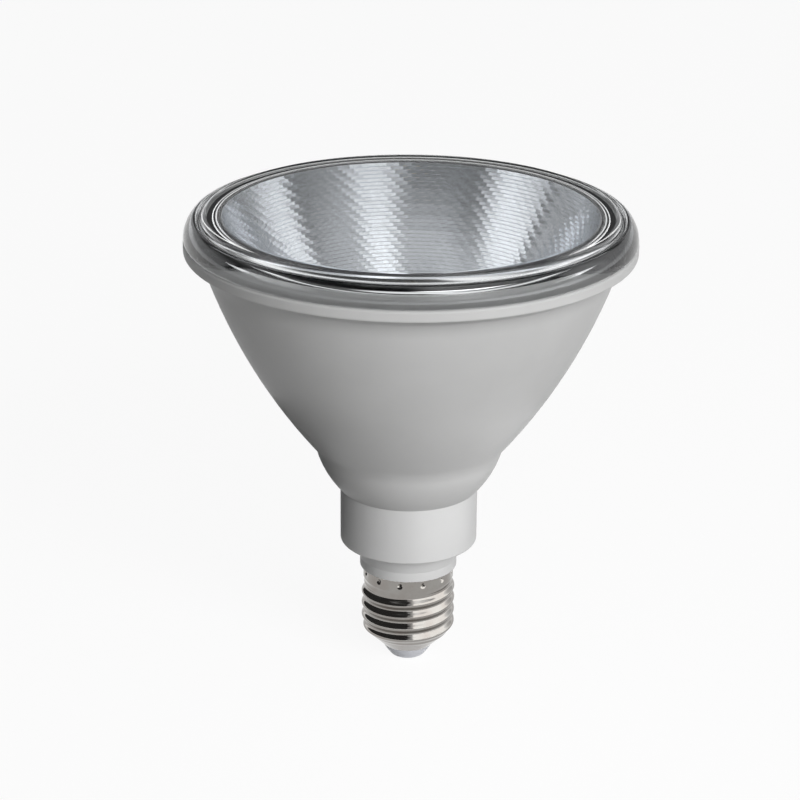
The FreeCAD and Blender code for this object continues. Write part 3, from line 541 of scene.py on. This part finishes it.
rolled = T.finish(T.turned(sheet_mesh, radius, height, angle), nickel)
cap_mesh = T.apply(outline_wire("cap_wall", SHELL_WALL, closed=True), rolled, "threaded_cap")
piece("threaded_cap", outward(cap_mesh, sharp=40), "nickel", "screw_shell")


# Foot of the cap: a moulded insulating plug holds the centre contact, a plated rivet, clear of the shell.
# Both keep the source's solids.
def moulded(name, colour, roughness=0.42, grain_mm=0.35, relief_mm=0.004, cloud_mm=14.0, uneven=0.02,
            specular=0.5):
    """Moulded plastic: a faint cloud in its colour, and a fine spark-eroded grain in its skin."""
    material, nodes, links = shader_tree(name)
    shader = nodes["Principled BSDF"]
    shader.inputs["Specular IOR Level"].default_value = specular
    cloud = texture(nodes, links, "ShaderNodeTexNoise", 1000 / cloud_mm, detail=3.0)
    dark, light = shade(colour, 1 - uneven), shade(colour, 1 + uneven)
    links.new(colours(nodes, links, cloud, (0.3, dark), (0.7, light)), shader.inputs["Base Color"])
    grain = texture(nodes, links, "ShaderNodeTexNoise", 1000 / grain_mm, detail=2.0)
    gloss = span(nodes, links, grain, roughness * 0.9, roughness * 1.12, 0.3, 0.7)
    links.new(gloss, shader.inputs["Roughness"])
    bumped(nodes, links, shader, grain, relief_mm)
    return material


def dress(material, *names):
    """The source's solids, with their material put in place of the plain one."""
    for name in names:
        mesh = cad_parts[name].data
        mesh.materials.clear()
        mesh.materials.append(material)


dress(moulded("insulator_plastic", (0.60, 0.61, 0.65)), "cap_insulator")
dress(nickel, "centre_contact")


# Driver case: a light grey moulding. Its neck shows between the bell and the cap, its narrower spigot
# plugs into the cap, and its barrel holds the driver board inside the bell.
case_plastic = moulded("case_plastic", (0.58, 0.58, 0.578), specular=0.2)
dress(case_plastic, "neck_case")


# Driver: a glass-fibre board on the case's rails, with its capacitors, transformer, choke, rectifier,
# chip, surge disc and fuse resistor, each soldered through it. All keep the source's solids.
WAVE_RADIANS = 20


def laminate(name, colour, weave_mm):
    """Glass cloth in green resin: two sets of crossed threads show through the lacquer."""
    material, nodes, links = shader_tree(name)
    shader = nodes["Principled BSDF"]
    shader.inputs["Roughness"].default_value = 0.35
    warp = texture(nodes, links, "ShaderNodeTexWave", 1000 / weave_mm / math.tau)
    weft = texture(nodes, links, "ShaderNodeTexWave", 1000 / weave_mm / math.tau, (0, 0, 1))
    weft.node.bands_direction = "Z"
    cloth = nodes.new("ShaderNodeMath")
    cloth.operation = "MULTIPLY"
    links.new(warp, cloth.inputs[0])
    links.new(weft, cloth.inputs[1])
    dark, light = shade(colour, 0.8), shade(colour, 1.15)
    links.new(colours(nodes, links, cloth.outputs[0], (0.0, dark), (1.0, light)),
              shader.inputs["Base Color"])
    bumped(nodes, links, shader, cloth.outputs[0], 0.01)
    return material


def wound(name, colour, radian_mm):
    """A winding: lacquered wire, laid turn beside turn. A turn is 2 pi times radian_mm wide, because the
    wave texture goes through WAVE_RADIANS in each unit of its scale."""
    material, nodes, links = shader_tree(name)
    shader = nodes["Principled BSDF"]
    shader.inputs["Metallic"].default_value = 0.8
    shader.inputs["Roughness"].default_value = 0.3
    turns = texture(nodes, links, "ShaderNodeTexWave", 1000 / radian_mm / WAVE_RADIANS, distortion=0.4)
    turns.node.bands_direction = "Z"
    # The dark bands between the turns are painted shade in the grooves between the round wires.
    lacquer = colours(nodes, links, turns, (0.1, shade(colour, 0.35)), (0.5, colour))
    links.new(lacquer, shader.inputs["Base Color"])
    bumped(nodes, links, shader, turns, 0.05)
    return material


steel = metal("zinc_steel", (0.55, 0.56, 0.58), 0.28, cloud_mm=1.5)
dress(steel, "case_screws", "holder_screws")
dress(laminate("green_laminate", (0.05, 0.20, 0.09), 0.6), "driver_board")
dress(moulded("can_sleeve", (0.05, 0.06, 0.09), 0.3, grain_mm=1.2), "input_capacitor", "output_capacitor")
ferrite = moulded("ferrite", (0.035, 0.034, 0.036), 0.6, grain_mm=0.25, relief_mm=0.02, uneven=0.2)
dress(ferrite, "transformer_core", "choke")
dress(wound("winding_wire", (0.60, 0.28, 0.10), 0.3), "transformer_winding")
dress(moulded("film_case", (0.55, 0.42, 0.06), 0.35), "film_capacitor")
dress(moulded("package_resin", (0.03, 0.03, 0.032), 0.5, grain_mm=0.15, relief_mm=0.01),
      "bridge_rectifier", "driver_chip")
dress(moulded("disc_resin", (0.04, 0.12, 0.40), 0.3, grain_mm=2.0, relief_mm=0.03), "varistor")
dress(moulded("fuse_coating", (0.30, 0.42, 0.30), 0.45), "fuse_resistor")


# Leads: four silicone-insulated wires, from the shell and the contact to the board, and from the board
# up through the heat sink to the light source.
lead_skin = moulded("lead_insulation", (0.75, 0.75, 0.73), 0.5, grain_mm=0.5, relief_mm=0.006)
dress(lead_skin, "live_lead", "neutral_lead", "lead_positive", "lead_negative")


# Heat sink: a spun aluminium cup inside the bell, with a flat plate that carries the light source.
# A rubber pad takes up the gap between the plate and the ceramic board.
aluminium = metal("sink_metal", (0.72, 0.73, 0.74), 0.34, cloud_mm=9.0, scratch_mm=0.2, relief_mm=0.006)
dress(aluminium, "heat_sink")
dress(moulded("pad_rubber", (0.35, 0.36, 0.40), 0.7, grain_mm=0.8, relief_mm=0.01), "thermal_pad")


# Light source: a ceramic board with a round dam, filled with yellow phosphor gel over the chips. A white
# holder with two screws clamps it to the plate, and its cone centres the reflector.
def gel(name, colour, cell_mm):
    """Phosphor in clear gel: a smooth wet skin over a faint grid of chips."""
    material, nodes, links = shader_tree(name)
    shader = nodes["Principled BSDF"]
    shader.inputs["Roughness"].default_value = 0.18
    shader.inputs["Coat Weight"].default_value = 0.5
    chips = texture(nodes, links, "ShaderNodeTexVoronoi", 1000 / cell_mm, randomness=0.15)
    grid = colours(nodes, links, chips, (0.1, shade(colour, 0.86)), (0.6, colour))
    links.new(grid, shader.inputs["Base Color"])
    bumped(nodes, links, shader, chips, 0.03, 0.5)
    return material


dress(moulded("chip_ceramic", (0.78, 0.78, 0.75), 0.4, grain_mm=0.3), "led_board")
dress(gel("phosphor_gel", (0.86, 0.62, 0.08), 1.1), "led_phosphor")
dress(moulded("holder_plastic", (0.76, 0.76, 0.74), 0.4), "led_holder")


# Reflector: a moulded cup that is plated bright inside only. Its back is dark plastic, darkened to near
# black as painted shade for the shaded gap seen through the lens's shoulder. The plated face has 60 rows
# of small scales, 88 to a row, each row turned by a third of a scale from the one above it. A scale is a
# low pillow whose narrow, steeper borders break up the light.
SCALES_ROUND = 88
SCALE_ROWS = 60
SCALE_COLUMNS = 3
SCALE_STEPS = 3
DOME_ACROSS = 0.055
DOME_ALONG = 0.008
BORDER_NARROWING = 0.316
COLUMN_NUDGE = 0.001
MOUTH_RADIUS = 50.85
CUP_INSIDE = [(MOUTH_RADIUS, 128.9), (30.0, 91.4, -190.0), (14.5, 76.0, -62.0)]
CUP_OUTSIDE = [
    (14.5, 76.0), (16.3, 76.0), (31.2, 90.68, 62.0), (48.4, 120.0, 190.0), (54.5, 120.0), (54.5, 121.6),
    (49.12, 121.6), (52.05, 128.9), (MOUTH_RADIUS, 128.9),
]

plating = metal("bright_plating", (0.78, 0.80, 0.83), 0.12, uneven=0.03, scratch_mm=0.3, relief_mm=0.0008)
# Dark plastic, darkened to near black as painted shade for the shaded gap behind the lens's shoulder.
cup_plastic_painted_shade = moulded("cup_plastic_painted_shade", (0.06, 0.062, 0.067), 0.35)

T = Tree("scaled_cup", {
    "Scales Round": SCALES_ROUND, "Scale Rows": SCALE_ROWS, "Columns Per Scale": SCALE_COLUMNS,
    "Steps Per Scale": SCALE_STEPS, "Dome Across": DOME_ACROSS * MM, "Dome Along": DOME_ALONG * MM,
    "Mouth Radius": MOUTH_RADIUS * MM, "Border Narrowing": BORDER_NARROWING,
})
columns = T.maths("MULTIPLY", T.number("Scales Round"), T.number("Columns Per Scale"))
rings = T.maths("ADD", T.number("Steps Per Scale"), 1.0)
all_rings = T.maths("MULTIPLY", T.number("Scale Rows"), rings)
grid, column, ring = T.grid(columns, all_rings)
face_ring = T.maths("MULTIPLY", T.maths("ADD", T.place()[1], 0.5), T.maths("SUBTRACT", all_rings, 1.0))
past_row = T.maths("FLOORED_MODULO", face_ring, rings)
between_rows = T.maths("GREATER_THAN", past_row, T.number("Steps Per Scale"))
strips = T.node("GeometryNodeDeleteGeometry", {"Geometry": grid, "Selection": between_rows}, domain="FACE")
row = T.maths("FLOOR", T.maths("DIVIDE", T.maths("ADD", ring, 0.5), rings))
row_start = T.maths("MULTIPLY", row, rings)
step = T.maths("DIVIDE", T.maths("SUBTRACT", ring, row_start), T.number("Steps Per Scale"))
wave = T.maths("SINE", T.maths("MULTIPLY", step, math.tau))
swing = T.maths("MULTIPLY", wave, T.number("Border Narrowing"))
down = T.maths("SUBTRACT", T.maths("ADD", row, step), swing)
share = T.maths("DIVIDE", down, T.number("Scale Rows"))
wall_radius, wall_height, out_slope, up_slope = T.on_wire(T.start.outputs["Geometry"], share)
# The nudge keeps a scale's first column from falling to the scale before it.
nudged = T.maths("ADD", column, COLUMN_NUDGE)
beside = T.maths("FRACT", T.maths("DIVIDE", nudged, T.number("Columns Per Scale")))


def dome(position):
    """1 in the middle of a scale and 0 at its edges."""
    centred = T.maths("MULTIPLY_ADD", position, 2.0, -1.0)
    return T.maths("SUBTRACT", 1.0, T.maths("MULTIPLY", centred, centred))


narrowed = T.maths("DIVIDE", wall_radius, T.number("Mouth Radius"))
pillow = T.maths("MULTIPLY", T.maths("MULTIPLY", dome(beside), T.number("Dome Across")), narrowed)
rise = T.maths("MULTIPLY", T.maths("ADD", pillow, T.number("Dome Along")), dome(step))
radius = T.maths("ADD", wall_radius, T.maths("MULTIPLY", rise, up_slope))
height = T.maths("SUBTRACT", wall_height, T.maths("MULTIPLY", rise, out_slope))
angle = T.maths("DIVIDE", T.maths("MULTIPLY", T.maths("SUBTRACT", column, row), math.tau), columns)
plated = T.finish(T.turned(strips.outputs[0], radius, height, angle), plating)
cup_face = T.apply(outline_wire("cup_inside", CUP_INSIDE, closed=False), plated, "plated_cup")


def turned_mesh(name, outline, steps, material):
    """An outline taken once round the axis. A point on the axis becomes a pole. An outline whose ends
    differ gives an open sheet."""
    turns = [math.tau * step / steps for step in range(steps)]
    mesh = bmesh.new()
    rings = []
    for radius, height in outline_points(outline):
        if radius == 0:
            rings.append([mesh.verts.new((0, 0, height * MM))] * steps)
        else:
            rings.append([mesh.verts.new((radius * math.cos(turn) * MM, radius * math.sin(turn) * MM,
                                          height * MM)) for turn in turns])
    for before, ring in zip(rings, rings[1:]):
        for step in range(steps):
            follower = (step + 1) % steps
            corners = dict.fromkeys([before[step], ring[step], ring[follower], before[follower]])
            if len(corners) > 2:
                mesh.faces.new(list(corners))
    bmesh.ops.remove_doubles(mesh, verts=mesh.verts, dist=MERGED_BELOW)
    data = bpy.data.meshes.new(name)
    mesh.to_mesh(data)
    mesh.free()
    data.materials.append(material)
    return data


def joined(name, *parts):
    """Meshes, each with its material, as one mesh with the shared edges merged."""
    whole = bmesh.new()
    for index, (part, _) in enumerate(parts):
        before = len(whole.faces)
        whole.from_mesh(part)
        whole.faces.ensure_lookup_table()
        for face in whole.faces[before:]:
            face.material_index = index
    bmesh.ops.remove_doubles(whole, verts=whole.verts, dist=MERGED_BELOW)
    data = bpy.data.meshes.new(name)
    whole.to_mesh(data)
    whole.free()
    for _, material in parts:
        data.materials.append(material)
    return data


cup_back = turned_mesh("cup_back", CUP_OUTSIDE, SCALES_ROUND * SCALE_COLUMNS, cup_plastic_painted_shade)
cup = joined("scaled_cup", (cup_face, plating), (cup_back, cup_plastic_painted_shade))
piece("scaled_cup", outward(cup, sharp=4), "reflector_finish", "reflector")


# Housing: the bell, moulded in satin grey plastic. Its grey is set darker than the driver case's, though
# both
# are one plastic: painted shade for the bell's downward-facing sides. It rises from the neck over a short
# concave foot, and ends in a lip whose seat takes the seal and the lens.
BELL_OUTLINE = [
    (17.75, 52.6), (19.2, 52.6), (26.05, 65.0, 27.0), (56.1, 119.0, 163.0), (57.5, 120.2), (60.35, 121.6),
    (61.08, 122.35, 0.75), (61.08, 123.95), (60.4, 124.8, 0.75), (59.5, 124.8), (59.5, 123.2),
    (58.6, 123.2), (58.6, 122.2), (56.6, 122.2), (56.6, 123.2), (56.1, 123.2), (56.1, 127.0),
    (54.65, 127.0), (54.65, 120.0), (54.0, 119.5), (27.2, 69.0, -160.9), (24.5, 69.0), (24.5, 65.15),
    (17.75, 54.7, -24.9), (17.75, 52.6),
]
FINE_STEPS = 320
# A darker copy of the case's plastic: painted shade for the bell, which faces downwards.
bell_plastic_painted_shade = moulded("bell_plastic_painted_shade", (0.515, 0.515, 0.512), specular=0.15)
bell_mesh = turned_mesh("bell_moulding", BELL_OUTLINE, FINE_STEPS, bell_plastic_painted_shade)
piece("bell_moulding", outward(bell_mesh, sharp=34), "housing_finish", "housing")


# Seal: a flat ring of milky silicone rubber, moulded in one. It lies in the housing's groove, and the lens
# presses on it from above.
dress(moulded("seal_rubber", (0.72, 0.73, 0.73), 0.5, grain_mm=0.6), "lens_seal")


# Lens: one clear moulding. A flat window ends in a rounded shoulder, a narrow groove and a broad bead
# that overhangs the housing's lip. A channel under the bead takes the housing's tongue.
LENS_OUTLINE = [
    (0, 129.5), (50.2, 129.5), (50.5, 129.5), (53.5, 126.5, -3.0), (53.5, 121.6), (54.5, 121.6),
    (54.5, 127.15), (56.25, 127.15), (56.25, 123.2), (59.35, 123.2), (59.35, 124.95), (60.5, 124.95),
    (61.0, 125.45, 0.5), (61.0, 125.8), (58.9, 130.4, 7.0), (57.2, 130.2, 1.1), (56.4, 130.2, -0.47),
    (55.0, 132.0, 1.85), (54.7, 132.0), (0, 132.0),
]
FILM_MM = 2.0
WAVE_MM = 9.0


def clear_plastic():
    """Clear polycarbonate, polished, with the faintest flow waves in its skin."""
    material, nodes, links = shader_tree("clear_polycarbonate")
    shader = nodes["Principled BSDF"]
    shader.inputs["Base Color"].default_value = (0.985, 0.99, 0.99, 1)
    shader.inputs["Transmission Weight"].default_value = 1
    shader.inputs["IOR"].default_value = 1.56
    film = texture(nodes, links, "ShaderNodeTexNoise", 1000 / FILM_MM, detail=2.0)
    links.new(span(nodes, links, film, 0.0, 0.03, 0.4, 0.8), shader.inputs["Roughness"])
    waves = texture(nodes, links, "ShaderNodeTexNoise", 1000 / WAVE_MM, detail=1.0)
    bumped(nodes, links, shader, waves, 0.004, 0.3)
    return material


lens_mesh = turned_mesh("clear_window", LENS_OUTLINE, FINE_STEPS, clear_plastic())
piece("clear_window", outward(lens_mesh, sharp=34), "clear_lens", "front_lens")
